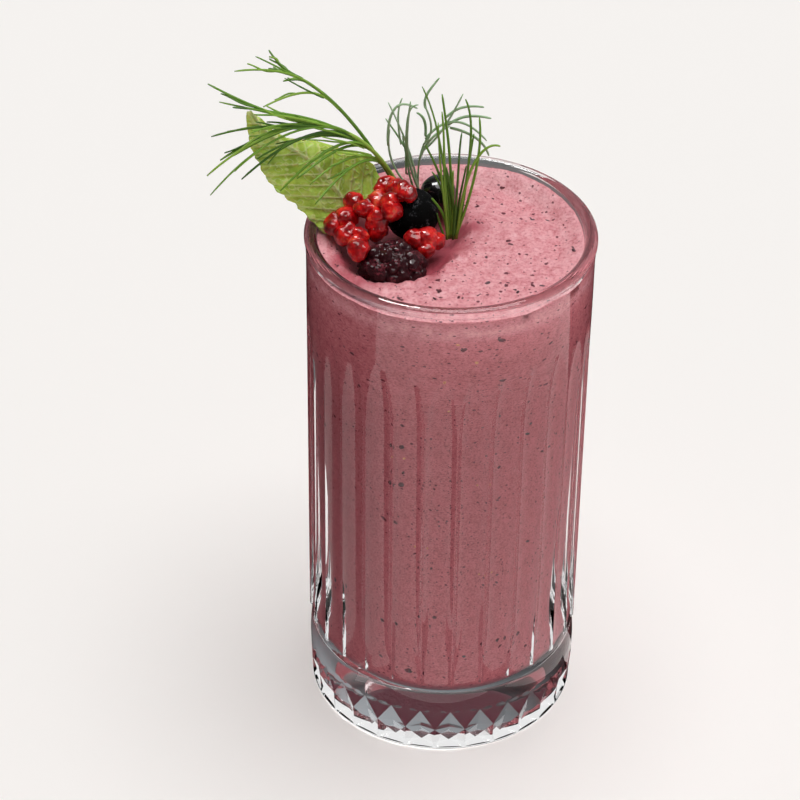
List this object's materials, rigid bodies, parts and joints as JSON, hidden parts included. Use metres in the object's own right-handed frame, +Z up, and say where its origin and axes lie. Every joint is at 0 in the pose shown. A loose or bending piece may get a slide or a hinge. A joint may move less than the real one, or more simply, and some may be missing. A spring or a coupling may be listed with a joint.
{
  "type": "berry smoothie in a fluted glass",
  "caption": "Thick pink berry smoothie in a straight fluted tumbler with a diamond-cut foot, topped with dark berries, raspberry pieces, a mint leaf and dill.",
  "frame": {"origin": "centre of the glass's underside, on the surface it stands on", "axes": "+Z up along the glass's axis, -Y towards the viewer, +X to the viewer's right; the mint leaf leans out towards -X"},
  "size_m": [0.1032, 0.078, 0.1932],
  "materials": {
    "clear_glass": "clear pressed glass, polished",
    "smoothie": "thick foamy pink drink with dark specks and seeds",
    "bramble": "dark, lumpy and wet, with fine highlights",
    "dark_berry": "near-black skin, partly frosted",
    "raspberry": "wet translucent red drupelets",
    "mint": "pale yellow-green leaf underside with raised veins",
    "dill": "fine green needles, slightly glossy"
  },
  "bodies": {
    "root": {"glass": "clear_glass", "smoothie": "smoothie", "bramble_berry": "bramble", "dark_berry_large": "dark_berry", "dark_berry_small": "dark_berry", "raspberry_piece_1": "raspberry", "raspberry_piece_2": "raspberry", "raspberry_piece_3": "raspberry", "raspberry_piece_4": "raspberry", "mint_leaf": "mint", "dill_sprig_left": "dill", "dill_sprig_back": "dill", "dill_sprig_front": "dill"}
  },
  "joints": []
}
